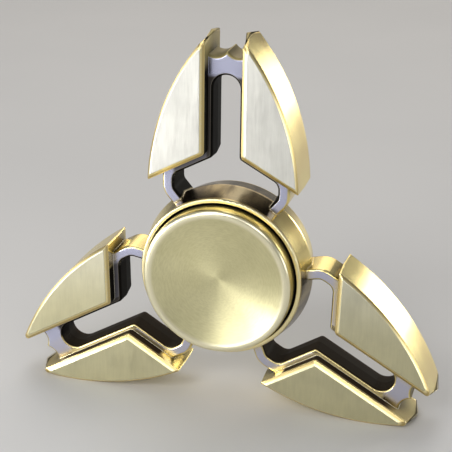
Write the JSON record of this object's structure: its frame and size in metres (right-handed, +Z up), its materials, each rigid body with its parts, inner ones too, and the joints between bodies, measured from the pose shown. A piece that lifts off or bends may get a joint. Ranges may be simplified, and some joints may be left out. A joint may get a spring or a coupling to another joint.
{
  "type": "hand spinner",
  "caption": "Hand-held spinning top with three claw-shaped arms, a caged ball bearing in the hub and dished finger pads front and rear.",
  "frame": {"origin": "centre of the ball bearing, on the spin axis at mid depth", "axes": "+Y along the spin axis towards the rear finger pad, +Z up along the top arm, +X to the right seen from the front"},
  "size_m": [0.0728, 0.0148, 0.0633],
  "materials": {
    "antique_brass": "brushed antique brass plating on a die casting, darker in the recesses",
    "pad_brass": "turned and circularly brushed antique brass plating",
    "stud_steel": "blackened steel",
    "race_steel": "ground bearing steel",
    "cage_steel": "pressed sheet steel",
    "shield_steel": "pressed sheet steel",
    "ball_steel": "polished bearing steel"
  },
  "bodies": {
    "spinner": {"claw_frame": "antique_brass", "bearing_outer_race": "race_steel", "front_shield": "shield_steel", "rear_shield": "shield_steel", "front_snap_ring": "shield_steel", "rear_snap_ring": "shield_steel"},
    "finger_pads": {"front_finger_pad": "pad_brass", "rear_finger_pad": "pad_brass", "pad_stud": "stud_steel", "bearing_inner_race": "race_steel"},
    "ball_cage": {"cage_front_half": "cage_steel", "cage_rear_half": "cage_steel", "cage_rivets": "cage_steel", "bearing_ball_1": "ball_steel", "bearing_ball_2": "ball_steel", "bearing_ball_3": "ball_steel", "bearing_ball_4": "ball_steel", "bearing_ball_5": "ball_steel", "bearing_ball_6": "ball_steel", "bearing_ball_7": "ball_steel"}
  },
  "joints": [
    {"name": "pad_spin", "type": "hinge", "parent": "spinner", "child": "finger_pads", "pos_m": [0, 0, 0], "axis": [0, 1, 0], "continuous": true},
    {"name": "cage_spin", "type": "hinge", "parent": "spinner", "child": "ball_cage", "pos_m": [0, 0, 0], "axis": [0, 1, 0], "continuous": true}
  ],
  "couplings": [
    {"joint": "cage_spin", "follows": "pad_spin", "ratio": 0.3677}
  ]
}
